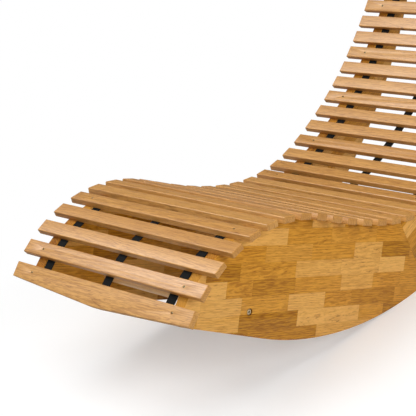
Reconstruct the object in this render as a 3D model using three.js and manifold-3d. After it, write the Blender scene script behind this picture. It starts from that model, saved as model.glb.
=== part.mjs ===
// Rocking chaise lounge: a deck of wooden slats on two curved side panels that rock on the floor.
//
// Every piece is drawn in side view first: x runs from the foot end to the back, y goes up, and
// z runs across, positive on the right. One turned group stands the finished lounge on the floor.
// Lengths are millimetres, angles are degrees, densities are kilograms for a cubic metre.

import * as THREE from 'three';
import { mergeVertices } from 'three/addons/utils/BufferGeometryUtils.js';
import Module from 'manifold-3d';

const wasm = await Module();
wasm.setup();

// Slats
const slatCount = 32;
const slatLength = 680;
const slatWidth = 40;
const slatThickness = 18;
const slatEase = 1.5;
const footSlatEndWidth = 42;
const footSlatMiddleWidth = 61;
const footSlatTipWidth = 36;

// The deck is walked slat by slat. Each step goes one pitch along the mean direction of the two
// slats and then turns. A row is a step number with its turn, or with its share of the pitch.
const slatPitch = 65;
const firstSlatX = 639;
const firstSlatY = -133;
const firstSlatHeading = 68.5;
const turnPlan = [
  [1, -11.2], [8, -7.3], [9, -0.3], [10, 1.6], [14, 4.9], [17, 8.4],
  [18, 7.3], [20, 3.3], [21, 3.5], [25, 3.0], [28, 1.8], [31, 1.6],
];
const pitchShares = [
  [1, 1.03], [3, 1.05], [5, 0.98], [8, 0.97], [11, 1.05], [14, 0.98],
  [17, 1.05], [20, 1.08], [23, 0.94], [28, 0.91], [31, 0.91],
];

// Side panels
const panelThickness = 32;
const slatOverhang = 54;
const noseRadius = 10;
const topReveal = 14;
const topWidth = 52;

// Rocker edge: its lowest point with the boards level, and the bends in front of and behind it.
// The heel bends on until it touches the spine's circle, which ends at the top of the back.
const rockerLowX = 1119;
const rockerLowY = -224;
const rockerFrontRadius = 1068;
const rockerFrontSweep = 9.4;
const rockerRearRadius = 1188;
const rockerRearSweep = 22.2;
const heelRadius = 721;
const spineRadius = 1447;
const outlineStep = 40;
const tipSteps = 8;
const noseSteps = 4;

// Joint between the base board and the back board of each side
const jointX = 1508;
const jointY = 67;
const jointHeading = -48.7;
const jointDowelCount = 3;
const jointDowelSpacing = 70;
const jointDowelOffset = 28;
const dowelDiameter = 12;
const dowelLength = 80;
const dowelChamfer = 1.5;

// Cross rails and their bolts
const railDiameter = 40;
const railInset = 62;
const frontRailDistance = 246;
const rearRailDistance = 700;
const railEase = 2;
const boltDiameter = 8;
const boltLength = 78;
const boltHeadDiameter = 16;
const boltHeadHeight = 4.5;
const boltSocketWidth = 6;
const boltSocketDepth = 3;
const boltSink = 6;
const barrelDiameter = 14;
const barrelLength = 26;
const barrelDepth = 38;

// Webbing straps under the slats
const strapWidth = 30;
const strapThickness = 1.6;
const strapSideGap = 3;
const strapEndInset = 6;

// Wood screws that hold every third slat, and the foot slat, to the side panels
const screwEvery = 3;
const screwHoleDiameter = 5;
const screwHeadDiameter = 8.6;
const screwHeadDepth = 2.4;

// Clearances and cutting
const seatGap = 0.3;
const boreGap = 0.3;
const overrun = 5;
const roundSides = 32;
const holeSides = 16;

// Densities
const oakDensity = 700;
const pineDensity = 560;
const steelDensity = 7850;
const webbingDensity = 900;

// Places that several pieces share
const panelOuterZ = slatLength / 2 - slatOverhang;
const panelInnerZ = panelOuterZ - panelThickness;
const panelMiddleZ = panelOuterZ - panelThickness / 2;
const strapSideZ = panelInnerZ - strapSideGap - strapWidth / 2;

const panelWood = new THREE.MeshStandardMaterial({ color: 0xb9813a, roughness: 0.45, metalness: 0 });
const slatWood = new THREE.MeshStandardMaterial({ color: 0xdcb584, roughness: 0.6, metalness: 0 });
const railWood = new THREE.MeshStandardMaterial({ color: 0xc99a5b, roughness: 0.5, metalness: 0 });
const dowelWood = new THREE.MeshStandardMaterial({ color: 0xd9bb88, roughness: 0.7, metalness: 0 });
const webbing = new THREE.MeshStandardMaterial({ color: 0x23252c, roughness: 0.9, metalness: 0 });
const zincSteel = new THREE.MeshStandardMaterial({ color: 0x8c8f93, roughness: 0.35, metalness: 1 });

const radians = THREE.MathUtils.degToRad;
const quarterTurn = 90;
const halfTurn = 180;

// Point on a line that leaves the start at a heading, so far along it and so far to its left
function offsetPoint(start, heading, along, left) {
  const turn = radians(heading);
  const x = start.x + along * Math.cos(turn) - left * Math.sin(turn);
  const y = start.y + along * Math.sin(turn) + left * Math.cos(turn);
  return new THREE.Vector2(x, y);
}

// Value of a plan at a step, in a straight line between its rows
function planned(plan, step) {
  const next = plan.findIndex((row) => row[0] >= step);
  if (next <= 0) return plan[Math.max(next, 0)][1];
  const [fromStep, fromValue] = plan[next - 1];
  const [toStep, toValue] = plan[next];
  return fromValue + ((toValue - fromValue) * (step - fromStep)) / (toStep - fromStep);
}

// Middle of each slat's underside, with the slat's heading
function walkDeck() {
  const stations = [{ x: firstSlatX, y: firstSlatY, heading: firstSlatHeading }];
  for (let step = 1; step < slatCount; step += 1) {
    const last = stations[step - 1];
    const turn = planned(turnPlan, Math.min(step, turnPlan.at(-1)[0]));
    const pitch = slatPitch * planned(pitchShares, Math.min(step, pitchShares.at(-1)[0]));
    const point = offsetPoint(last, last.heading + turn / 2, pitch, 0);
    stations.push({ x: point.x, y: point.y, heading: last.heading + turn });
  }
  return stations;
}

const deck = walkDeck();

// Both ends of each slat's underside, so far below it, from the foot end to the top of the back
function underDeck(below) {
  return deck.flatMap((slat) => [
    offsetPoint(slat, slat.heading, -slatWidth / 2, -below),
    offsetPoint(slat, slat.heading, slatWidth / 2, -below),
  ]);
}

// Place and heading after a bend; a positive radius bends to the left
function afterBend(place, radius, sweep) {
  const heading = place.heading + Math.sign(radius) * sweep;
  const centre = offsetPoint(place, place.heading, 0, radius);
  const end = offsetPoint(centre, heading, 0, -radius);
  return { x: end.x, y: end.y, heading };
}

function bendLength({ radius, sweep }) {
  return Math.abs(radius) * radians(sweep);
}

// Places along a bend, in steps of at most one outline step, without its start
function bendPlaces(place, { radius, sweep }) {
  const steps = Math.ceil(bendLength({ radius, sweep }) / outlineStep);
  return Array.from({ length: steps }, (_, step) => {
    return afterBend(place, radius, (sweep * (step + 1)) / steps);
  });
}

// Places along a chain of bends, without its start
function chainPlaces(start, bends) {
  const places = [];
  for (const bend of bends) places.push(...bendPlaces(places.at(-1) ?? start, bend));
  return places;
}

// Place at a distance along a chain of bends, which runs on straight past its last bend
function travel(start, bends, distance) {
  let place = start;
  let left = distance;
  for (const bend of bends) {
    const length = Math.min(left, bendLength(bend));
    place = afterBend(place, bend.radius, (bend.sweep * length) / bendLength(bend));
    left -= length;
  }
  const end = offsetPoint(place, place.heading, left, 0);
  return { x: end.x, y: end.y, heading: place.heading };
}

// Where two circles cross, on the left of the line from the first centre to the second
function circleCrossing(a, radiusA, b, radiusB) {
  const way = new THREE.Vector2(b.x - a.x, b.y - a.y);
  const along = (way.lengthSq() + radiusA ** 2 - radiusB ** 2) / (2 * way.length());
  const heading = THREE.MathUtils.radToDeg(way.angle());
  return offsetPoint(a, heading, along, Math.sqrt(radiusA ** 2 - along ** 2));
}

// Heading of a bend to the left round a centre, at a point on it or on the line out to it
function headingRound(centre, point) {
  const inwards = new THREE.Vector2(centre.x - point.x, centre.y - point.y);
  return THREE.MathUtils.radToDeg(inwards.angle()) - quarterTurn;
}

// Top of the back: the end of the deck edge, and the rear corner one top width from it
const topSlat = deck.at(-1);
const deckEnd = offsetPoint(topSlat, topSlat.heading, slatWidth / 2 + topReveal, -seatGap);
const topCorner = offsetPoint(deckEnd, topSlat.heading, 0, -topWidth);

// Rocker edge, seen from its lowest point forwards to the nose and backwards to the heel
const rockerLow = { x: rockerLowX, y: rockerLowY, heading: 0 };
const rockerLowFacingFront = { x: rockerLowX, y: rockerLowY, heading: halfTurn };
const frontBends = [{ radius: -rockerFrontRadius, sweep: rockerFrontSweep }];
const heelStart = afterBend(rockerLow, rockerRearRadius, rockerRearSweep);
const heelCentre = offsetPoint(heelStart, heelStart.heading, 0, heelRadius);
const spineCentre = circleCrossing(heelCentre, spineRadius - heelRadius, topCorner, spineRadius);
const spineHeading = headingRound(spineCentre, heelCentre);
const rearBends = [
  { radius: rockerRearRadius, sweep: rockerRearSweep },
  { radius: heelRadius, sweep: spineHeading - heelStart.heading },
];
const rocker = [
  ...chainPlaces(rockerLowFacingFront, frontBends).reverse(),
  rockerLow,
  ...chainPlaces(rockerLow, rearBends),
].map(({ x, y }) => new THREE.Vector2(x, y));

// Where two lines meet, each given by a point and a heading
function crossing(a, headingA, b, headingB) {
  const [turnA, turnB] = [radians(headingA), radians(headingB)];
  const across = Math.sin(turnB - turnA);
  const along = ((b.x - a.x) * Math.sin(turnB) - (b.y - a.y) * Math.cos(turnB)) / across;
  return offsetPoint(a, headingA, along, 0);
}

// Rounded nose where the front of the rocker meets the foot end of the deck
function noseOutline(deckStart) {
  const deckHeading = deck[0].heading;
  const corner = crossing(deckStart, deckHeading, rocker[0], -rockerFrontSweep);
  const turn = halfTurn - deckHeading - rockerFrontSweep;
  const reach = noseRadius * Math.tan(radians(turn / 2));
  const start = offsetPoint(corner, deckHeading, reach, 0);
  const place = { x: start.x, y: start.y, heading: deckHeading + halfTurn };
  return Array.from({ length: noseSteps }, (_, step) => {
    return afterBend(place, noseRadius, (turn * (step + 1)) / noseSteps);
  });
}

// Rear edge of the back up to its top corner, and the half round that closes the top
function spineOutline() {
  const heelEnd = afterBend(heelStart, heelRadius, spineHeading - heelStart.heading);
  const sweep = headingRound(spineCentre, topCorner) - spineHeading;
  const tip = [];
  for (let step = 1; step < tipSteps; step += 1) {
    const corner = { x: topCorner.x, y: topCorner.y, heading: topSlat.heading };
    tip.push(afterBend(corner, topWidth / 2, (halfTurn * step) / tipSteps));
  }
  return [...bendPlaces(heelEnd, { radius: spineRadius, sweep }), ...tip];
}

// Outline of one whole side: nose, rocker, spine and top, and back down the deck
function sideOutline() {
  const deckEdge = underDeck(seatGap);
  return [...noseOutline(deckEdge[0]), ...rocker, ...spineOutline(), deckEnd, ...deckEdge.reverse()];
}

function extrudeAcross(points, width, middleZ) {
  const shape = new THREE.Shape(points.map(({ x, y }) => new THREE.Vector2(x, y)));
  const geometry = new THREE.ExtrudeGeometry(shape, { depth: width, bevelEnabled: false });
  return geometry.translate(0, 0, middleZ - width / 2);
}

// A turned piece whose axis runs along z, from a profile of [radius, z] pairs
function turned(profile, sides) {
  const points = profile.map(([radius, z]) => new THREE.Vector2(radius, z));
  return new THREE.LatheGeometry(points, sides).rotateX(Math.PI / 2);
}

function pin(diameter, length, sides) {
  const radius = diameter / 2;
  const end = length / 2;
  return turned([[0, -end], [radius, -end], [radius, end], [0, end]], sides);
}

// Solid for joining and cutting, from a closed geometry in the place where it stands
function toSolid(geometry) {
  const bare = new THREE.BufferGeometry();
  bare.setAttribute('position', geometry.getAttribute('position'));
  bare.setIndex(geometry.getIndex());
  const merged = mergeVertices(bare);
  const vertProperties = new Float32Array(merged.getAttribute('position').array);
  const triVerts = new Uint32Array(merged.getIndex().array);
  return new wasm.Manifold(new wasm.Mesh({ numProp: 3, vertProperties, triVerts }));
}

function toGeometry(solid) {
  const { vertProperties, triVerts } = solid.getMesh();
  const geometry = new THREE.BufferGeometry();
  geometry.setAttribute('position', new THREE.BufferAttribute(vertProperties, 3));
  geometry.setIndex(new THREE.BufferAttribute(triVerts, 1));
  const flat = geometry.toNonIndexed();
  flat.computeVertexNormals();
  return flat;
}

function cut(geometry, cutters) {
  let solid = toSolid(geometry);
  for (const cutter of cutters) solid = solid.subtract(toSolid(cutter));
  return toGeometry(solid);
}

const sideView = new THREE.Group();
const masses = [];

function addPiece(name, geometry, material, density, place = {}) {
  const mesh = new THREE.Mesh(geometry, material);
  mesh.name = name;
  mesh.position.set(place.x ?? 0, place.y ?? 0, place.z ?? 0);
  mesh.rotation.z = radians(place.heading ?? 0);
  sideView.add(mesh);
  masses.push({ mesh, density });
  return mesh;
}

// Slat from its outline seen from above, [across the deck, along the slat], with eased edges.
// Its underside lies at y zero, and its front edge faces minus x.
function slatBoard(outline) {
  const shape = new THREE.Shape(outline.map(([x, z]) => new THREE.Vector2(z, x)));
  const geometry = new THREE.ExtrudeGeometry(shape, {
    depth: slatThickness - 2 * slatEase,
    bevelSegments: 1,
    bevelSize: slatEase,
    bevelThickness: slatEase,
    bevelOffset: -slatEase,
  });
  const lieFlat = new THREE.Matrix4().makeBasis(
    new THREE.Vector3(0, 0, 1),
    new THREE.Vector3(1, 0, 0),
    new THREE.Vector3(0, 1, 0),
  );
  return geometry.translate(0, 0, slatEase).applyMatrix4(lieFlat);
}

function plainSlat() {
  const [half, end] = [slatWidth / 2, slatLength / 2];
  return slatBoard([[-half, -end], [-half, end], [half, end], [half, -end]]);
}

// The foot slat is widest in the middle: its front edge is two straight cuts that meet there
function footSlat() {
  const [rear, end] = [slatWidth / 2, slatLength / 2];
  const front = rear - footSlatEndWidth;
  const tip = rear - footSlatMiddleWidth;
  const tipHalf = footSlatTipWidth / 2;
  return slatBoard([
    [front, -end], [tip, -tipHalf], [tip, tipHalf], [front, end], [rear, end], [rear, -end],
  ]);
}

// Countersunk screw hole through a slat above the middle of a side panel
function screwHole(side) {
  const hole = screwHoleDiameter / 2;
  const head = screwHeadDiameter / 2;
  const shoulder = slatThickness - screwHeadDepth;
  const mouth = head + ((head - hole) * overrun) / screwHeadDepth;
  const top = slatThickness + overrun;
  const profile = [[0, -overrun], [hole, -overrun], [hole, shoulder], [mouth, top], [0, top]];
  return turned(profile, holeSides).rotateX(-Math.PI / 2).translate(0, 0, side * panelMiddleZ);
}

function addSlats() {
  deck.forEach((station, index) => {
    const blank = index === 0 ? footSlat() : plainSlat();
    const screwed = index === 0 || index % screwEvery === 1;
    const geometry = screwed ? cut(blank, [screwHole(-1), screwHole(1)]) : blank;
    const name = index === 0 ? 'foot_slat' : `slat_${String(index + 1).padStart(2, '0')}`;
    addPiece(name, geometry, slatWood, pineDensity, station);
  });
}

// Places of the dowels along the joint line, in side view
function dowelPlaces() {
  const places = [];
  for (let index = 0; index < jointDowelCount; index += 1) {
    const along = jointDowelOffset + index * jointDowelSpacing;
    places.push(offsetPoint({ x: jointX, y: jointY }, jointHeading, along, 0));
  }
  return places;
}

// Box that covers everything on one side of the joint line, and half a seat gap past it
function jointCutter(side) {
  const reach = slatPitch * slatCount;
  const box = new THREE.BoxGeometry(2 * reach, reach, slatLength);
  const centre = offsetPoint({ x: jointX, y: jointY }, jointHeading, 0, (side * (reach - seatGap)) / 2);
  return box.rotateZ(radians(jointHeading)).translate(centre.x, centre.y, 0);
}

function dowelBore(place) {
  const bore = pin(dowelDiameter + 2 * boreGap, dowelLength + 2 * boreGap, holeSides);
  return bore.rotateX(Math.PI / 2).rotateZ(radians(jointHeading)).translate(place.x, place.y, 0);
}

// Stepped hole for a rail bolt, bored from the outer face of the right side panel
function boltBore() {
  const shank = boltDiameter / 2 + boreGap;
  const head = boltHeadDiameter / 2 + 2 * boreGap;
  const seat = panelOuterZ - boltSink;
  const profile = [
    [0, panelInnerZ - overrun], [shank, panelInnerZ - overrun], [shank, seat],
    [head, seat], [head, panelOuterZ + overrun], [0, panelOuterZ + overrun],
  ];
  return turned(profile, roundSides);
}

// The rails lie inside the rocker edge, which is on their left going forwards and on their right
// going backwards
const underFrontRail = travel(rockerLowFacingFront, frontBends, frontRailDistance);
const underRearRail = travel(rockerLow, rearBends, rearRailDistance);
const rails = [
  { name: 'front_rail', place: offsetPoint(underFrontRail, underFrontRail.heading, 0, -railInset) },
  { name: 'rear_rail', place: offsetPoint(underRearRail, underRearRail.heading, 0, railInset) },
];

// Both boards of one side. The right side is bored, and the left one is its mirror image.
function addSide(name, side) {
  const blank = extrudeAcross(sideOutline(), panelThickness, side * panelMiddleZ);
  const mirror = side > 0 ? 0 : Math.PI;
  const bolts = rails.map(({ place }) => boltBore().rotateX(mirror).translate(place.x, place.y, 0));
  const bores = dowelPlaces().map((place) => dowelBore(place).translate(0, 0, side * panelMiddleZ));
  const base = cut(blank, [jointCutter(1), ...bores, ...bolts]);
  const back = cut(blank, [jointCutter(-1), ...bores, ...bolts]);
  addPiece(`${name}_base_panel`, base, panelWood, oakDensity);
  addPiece(`${name}_back_panel`, back, panelWood, oakDensity);
  addDowels(name, side);
}

function addDowels(name, side) {
  const radius = dowelDiameter / 2;
  const end = dowelLength / 2;
  const profile = [
    [0, -end], [radius - dowelChamfer, -end], [radius, dowelChamfer - end],
    [radius, end - dowelChamfer], [radius - dowelChamfer, end], [0, end],
  ];
  dowelPlaces().forEach((place, index) => {
    const geometry = turned(profile, holeSides).rotateX(Math.PI / 2);
    const stand = { x: place.x, y: place.y, z: side * panelMiddleZ, heading: jointHeading };
    addPiece(`${name}_joint_dowel_${index + 1}`, geometry, dowelWood, oakDensity, stand);
  });
}

// Places of the barrel nuts along a rail, so far inside each side panel
const barrelZ = panelInnerZ - seatGap - barrelDepth;

function railBar() {
  const end = panelInnerZ - seatGap;
  const radius = railDiameter / 2;
  const profile = [
    [0, -end], [radius - railEase, -end], [radius, railEase - end],
    [radius, end - railEase], [radius - railEase, end], [0, end],
  ];
  const boltRoom = panelOuterZ - boltSink - boltLength - boreGap;
  const boltHole = (side) => {
    const length = end + overrun - boltRoom;
    const hole = pin(boltDiameter + 2 * boreGap, length, holeSides);
    return hole.translate(0, 0, side * (boltRoom + length / 2));
  };
  const barrelHole = (side) => {
    const depth = railDiameter / 2 + barrelLength / 2;
    const hole = pin(barrelDiameter + 2 * boreGap, depth + overrun, holeSides).rotateX(Math.PI / 2);
    return hole.translate(0, (overrun - depth) / 2 + barrelLength / 2 - overrun, side * barrelZ);
  };
  return cut(turned(profile, roundSides), [boltHole(-1), boltHole(1), barrelHole(-1), barrelHole(1)]);
}

// Cap bolt with a hex socket, its head outwards along z and its seat at z zero
function railBolt() {
  const shank = boltDiameter / 2;
  const head = boltHeadDiameter / 2;
  const chamfer = boltDiameter / 8;
  const body = turned([
    [0, -boltLength], [shank - chamfer, -boltLength], [shank, chamfer - boltLength], [shank, 0],
    [head, 0], [head, boltHeadHeight - chamfer], [head - chamfer, boltHeadHeight], [0, boltHeadHeight],
  ], roundSides);
  const socketDiameter = boltSocketWidth / Math.cos(Math.PI / 6);
  const socket = pin(socketDiameter, boltSocketDepth + overrun, 6);
  const floor = boltHeadHeight - boltSocketDepth;
  return cut(body, [socket.translate(0, 0, floor + (boltSocketDepth + overrun) / 2)]);
}

function barrelNut() {
  const cross = pin(boltDiameter + 2 * boreGap, barrelDiameter + 2 * overrun, holeSides);
  return cut(pin(barrelDiameter, barrelLength, roundSides).rotateX(Math.PI / 2), [cross]);
}

function addRail({ name, place }) {
  addPiece(name, railBar(), railWood, oakDensity, { x: place.x, y: place.y });
  for (const [sideName, side] of [['left', -1], ['right', 1]]) {
    const facing = side > 0 ? 0 : Math.PI;
    const boltPlace = { x: place.x, y: place.y, z: side * (panelOuterZ - boltSink + boreGap) };
    addPiece(`${sideName}_${name}_bolt`, railBolt().rotateX(facing), zincSteel, steelDensity, boltPlace);
    const nutPlace = { x: place.x, y: place.y, z: side * barrelZ };
    addPiece(`${sideName}_${name}_barrel_nut`, barrelNut(), zincSteel, steelDensity, nutPlace);
  }
}

// Strap that runs under every slat, straight across the gaps between them
function addStrap(name, middleZ) {
  const upper = underDeck(seatGap);
  const lower = underDeck(seatGap + strapThickness);
  const [first, last] = [deck[0], deck.at(-1)];
  const start = strapEndInset - slatWidth / 2;
  upper[0] = offsetPoint(first, first.heading, start, -seatGap);
  lower[0] = offsetPoint(first, first.heading, start, -seatGap - strapThickness);
  upper[upper.length - 1] = offsetPoint(last, last.heading, -start, -seatGap);
  lower[lower.length - 1] = offsetPoint(last, last.heading, -start, -seatGap - strapThickness);
  const outline = [...lower, ...upper.reverse()];
  addPiece(name, extrudeAcross(outline, strapWidth, middleZ), webbing, webbingDensity);
}

addSlats();
addSide('left', -1);
addSide('right', 1);
rails.forEach(addRail);
addStrap('left_strap', -strapSideZ);
addStrap('middle_strap', 0);
addStrap('right_strap', strapSideZ);

// Centre of mass in side view, from the volume under each triangle of every piece
function massCentre() {
  const sum = new THREE.Vector3();
  let total = 0;
  const [a, b, c] = [new THREE.Vector3(), new THREE.Vector3(), new THREE.Vector3()];
  for (const { mesh, density } of masses) {
    mesh.updateMatrix();
    const flat = mesh.geometry.getIndex() ? mesh.geometry.toNonIndexed() : mesh.geometry;
    const places = flat.getAttribute('position');
    for (let index = 0; index < places.count; index += 3) {
      a.fromBufferAttribute(places, index).applyMatrix4(mesh.matrix);
      b.fromBufferAttribute(places, index + 1).applyMatrix4(mesh.matrix);
      c.fromBufferAttribute(places, index + 2).applyMatrix4(mesh.matrix);
      const mass = (density * a.dot(b.clone().cross(c))) / 6;
      total += mass;
      sum.addScaledVector(a.clone().add(b).add(c), mass / 4);
    }
  }
  return sum.divideScalar(total);
}

// The lounge stands on the facet of its rocker that lies straight below its centre of mass
function standingTilt() {
  const centre = massCentre();
  for (let index = 1; index < rocker.length; index += 1) {
    const facet = rocker[index].clone().sub(rocker[index - 1]);
    const toCentre = new THREE.Vector2(centre.x, centre.y).sub(rocker[index - 1]);
    const along = facet.dot(toCentre) / facet.lengthSq();
    if (along >= 0 && along <= 1) return facet.angle();
  }
  return 0;
}

// Turn side view so that x runs back along +Y, y goes up along +Z and z runs along +X
const intoRoom = new THREE.Matrix4().makeBasis(
  new THREE.Vector3(0, 1, 0),
  new THREE.Vector3(0, 0, 1),
  new THREE.Vector3(1, 0, 0),
);
sideView.quaternion.setFromRotationMatrix(intoRoom);

const standing = new THREE.Group();
standing.add(sideView);
standing.rotation.x = -standingTilt();
standing.updateMatrixWorld(true);

// The origin is on the floor, under the middle of the lounge
const bounds = new THREE.Box3().setFromObject(standing, true);
standing.position.set(0, -(bounds.min.y + bounds.max.y) / 2, -bounds.min.z);

const chaise = new THREE.Group();
chaise.add(standing);
chaise.updateMatrixWorld(true);

export default chaise;
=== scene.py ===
# %% [markdown]
# # A rocking chaise lounge in oiled wood
#
# Thirty-two slats lie on two tall curved side panels, tied by two round rails, with three black webbing
# straps below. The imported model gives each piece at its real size, in metres, and in its place. This
# script gives them surfaces and softened edges, and adds wood screws, staples, woven webbing and turned
# bolts.

# %% Load the frame
import math

import bmesh
import bpy
import numpy as np
from mathutils import Matrix, Vector


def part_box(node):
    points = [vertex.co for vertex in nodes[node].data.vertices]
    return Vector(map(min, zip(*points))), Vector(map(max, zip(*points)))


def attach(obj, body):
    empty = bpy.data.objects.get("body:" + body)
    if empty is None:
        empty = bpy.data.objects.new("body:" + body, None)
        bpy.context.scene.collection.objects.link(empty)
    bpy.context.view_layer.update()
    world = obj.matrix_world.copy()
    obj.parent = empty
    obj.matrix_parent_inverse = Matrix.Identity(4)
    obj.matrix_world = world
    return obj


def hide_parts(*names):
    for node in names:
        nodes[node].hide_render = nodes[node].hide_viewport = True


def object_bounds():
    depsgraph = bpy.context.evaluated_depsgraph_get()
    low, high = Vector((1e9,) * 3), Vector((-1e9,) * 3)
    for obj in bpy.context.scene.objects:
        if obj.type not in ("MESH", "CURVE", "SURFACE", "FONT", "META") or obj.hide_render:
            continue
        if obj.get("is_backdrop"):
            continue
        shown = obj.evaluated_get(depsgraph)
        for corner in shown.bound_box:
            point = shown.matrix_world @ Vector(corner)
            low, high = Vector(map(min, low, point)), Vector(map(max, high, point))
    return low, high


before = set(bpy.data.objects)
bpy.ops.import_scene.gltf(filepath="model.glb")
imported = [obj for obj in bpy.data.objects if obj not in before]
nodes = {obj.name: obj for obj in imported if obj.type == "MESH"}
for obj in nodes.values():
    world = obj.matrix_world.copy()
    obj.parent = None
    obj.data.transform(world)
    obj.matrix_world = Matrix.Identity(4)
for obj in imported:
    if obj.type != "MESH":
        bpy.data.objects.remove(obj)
cad_low, cad_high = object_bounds()
SEED = 4377
chance = np.random.default_rng(SEED)
MM = 0.001  # a millimetre in the frame's metres
print("frame:", len(nodes), "nodes,", [round(side, 3) for side in cad_high - cad_low], "metres")

# %% [markdown]
# ## The slope of the side panels
#
# Everything is placed from the frame, as numbers copied from the model's source would be wrong after
# the first change there. Each side panel is a base board and a back board, butted at a joint. Three
# dowels lie along the joint and give its direction. The back board's staves are square to it, and those
# of the base board meet it at a fixed angle.

# %% Read the slope from the dowels
STAVES_TO_JOINT = math.radians(48.7)
ACROSS = np.array([1.0, 0.0, 0.0])
SIDE_VIEW = np.array([0.0, 1.0, 1.0])


def vertex_places(mesh):
    """All vertices of a mesh, one row of x, y and z each."""
    places = np.empty(len(mesh.vertices) * 3, np.float32)
    mesh.vertices.foreach_get("co", places)
    return places.reshape(-1, 3)


def middle(node):
    """The middle of a node's box: half the sum of its lowest and highest corner."""
    low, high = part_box(node)
    return np.array((low + high) / 2)


def turned(way, angle):
    """A direction in the side view, turned by an angle from back (+Y) towards up (+Z)."""
    cosine, sine = math.cos(angle), math.sin(angle)
    return np.array([0.0, way[1] * cosine - way[2] * sine, way[1] * sine + way[2] * cosine])


joint_foot = middle("right_joint_dowel_1") * SIDE_VIEW
joint_way = middle("right_joint_dowel_3") * SIDE_VIEW - joint_foot
joint_way /= np.linalg.norm(joint_way)
base_way = turned(joint_way, STAVES_TO_JOINT)
base_up = turned(base_way, math.pi / 2)
back_way = turned(joint_way, math.pi / 2)
back_up = turned(back_way, math.pi / 2)
climb = math.degrees(math.atan2(base_way[2], base_way[1]))
print("the base boards' staves climb by", round(climb, 2), "degrees")

# %% [markdown]
# ## Where each slat lies
#
# Every slat is turned with the curve of the deck, and its box doesn't tell by how much. Its end face
# does. The longest direction of that face's corners, which a singular value decomposition finds, runs
# across the slat from front to rear, and the way out of its top is square to that.

# %% Find each slat
END_FACE = 0.1 * MM  # what lies this near a slat's right end is on its end face


def slat_station(node):
    """A slat's middle, its directions to the rear and out of its top, and how far back it reaches."""
    places = vertex_places(nodes[node].data).astype(float)
    end = places[places[:, 0] > places[:, 0].max() - END_FACE]
    centre = (end.min(0) + end.max(0)) / 2 * SIDE_VIEW
    spread = end[:, 1:] - end[:, 1:].mean(0)
    _, _, ways = np.linalg.svd(spread, full_matrices=False)
    along = np.array([0.0, *ways[0]]) * math.copysign(1, ways[0][0])
    rear = ((places - centre) @ along).max()
    return {
        "centre": centre, "along": along, "normal": turned(along, math.pi / 2), "rear": rear,
        "corners": len(places),
    }


slat_names = ["foot_slat"] + sorted(name for name in nodes if name.startswith("slat_"))
stations = {name: slat_station(name) for name in slat_names}
deck = list(stations.values())
slopes = [round(math.degrees(math.atan2(station["along"][2], station["along"][1]))) for station in deck]
print("slats:", len(deck), "which climb by", slopes, "degrees")

# %% [markdown]
# ## The camera
#
# The photograph looks down on the lounge from its foot end, over its right side, through a long lens
# that leans a little. A camera can be aimed at a point, but here its three angles are known, so its
# directions are worked out from them. All count from the joint's foot and the base boards' staves, so
# the view stays the same however the lounge stands.

# %% Camera
SENSOR_WIDTH, LENS = 36, 111.76  # millimetres
CAMERA_ACROSS, CAMERA_BACK, CAMERA_UP = 2.4134, -3.0688, 0.4003  # metres
LEFT_TURN, PITCH, ROLL = math.radians(43.585), math.radians(-5.858), math.radians(6.048)


def in_scene(name, data):
    """A new object for this data, linked to the scene."""
    thing = bpy.data.objects.new(name, data)
    bpy.context.scene.collection.objects.link(thing)
    return thing


camera = in_scene("camera", bpy.data.cameras.new("camera"))
camera.data.sensor_width = SENSOR_WIDTH
camera.data.lens = LENS
camera_place = joint_foot + CAMERA_ACROSS * ACROSS + CAMERA_BACK * base_way + CAMERA_UP * base_up
level_look = math.cos(LEFT_TURN) * base_way - math.sin(LEFT_TURN) * ACROSS
look = math.cos(PITCH) * level_look + math.sin(PITCH) * base_up
level_right = np.cross(level_look, base_up)
level_top = np.cross(level_right, look)
right = math.cos(ROLL) * level_right + math.sin(ROLL) * level_top
top = np.cross(right, look)
camera_turn = Matrix(np.array([right, top, -look]).T.tolist()).to_quaternion()
camera.matrix_world = Matrix.LocRotScale(Vector(camera_place), camera_turn, None)
bpy.context.scene.camera = camera
print("camera at", camera_place.round(3), "metres")

# %% [markdown]
# ## Shader nodes in short calls
#
# A finish is a small network of nodes. Making each by hand takes many lines, so one helper adds a node
# and fills its inputs, and the rest are short names for what comes up again and again: sums, mixed
# colours, soft steps, ripples and relief.

# %% Helpers for numbers and vectors


def fill(tree, made, inputs):
    """Gives each input of a node a value or another node's result."""
    for name, value in inputs.items():
        if isinstance(value, bpy.types.NodeSocket):
            tree.links.new(value, made.inputs[name])
        else:
            made.inputs[name].default_value = value


def shader_node(tree, kind, inputs, **options):
    """Adds a node, sets its options and fills its inputs. The kind is its name after ShaderNode."""
    made = tree.nodes.new("ShaderNode" + kind)
    for option, value in options.items():
        setattr(made, option, value)
    fill(tree, made, inputs)
    return made


def calc(tree, operation, *values):
    """The result of one sum on numbers."""
    return shader_node(tree, "Math", dict(enumerate(values)), operation=operation).outputs[0]


def times(tree, first, second):
    """The product of two numbers."""
    return calc(tree, "MULTIPLY", first, second)


def between(tree, share, first, second):
    """The number that lies between two fixed ones by this share."""
    return calc(tree, "MULTIPLY_ADD", share, second - first, first)


def vector_calc(tree, operation, *values):
    """The result of one sum on vectors."""
    return shader_node(tree, "VectorMath", dict(enumerate(values)), operation=operation).outputs[0]


def scaled(tree, vector, factors):
    """A vector with each of its three numbers times its own factor."""
    return vector_calc(tree, "MULTIPLY", vector, factors)


def length_of(tree, vector):
    """How long a vector is."""
    return shader_node(tree, "VectorMath", {0: vector}, operation="LENGTH").outputs["Value"]


def parts_of(tree, vector):
    """A vector's three numbers, by the names X, Y and Z."""
    return shader_node(tree, "SeparateXYZ", {"Vector": vector}).outputs


def vector_of(tree, x, y, z):
    """A vector made of three numbers."""
    return shader_node(tree, "CombineXYZ", {"X": x, "Y": y, "Z": z}).outputs[0]


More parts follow.
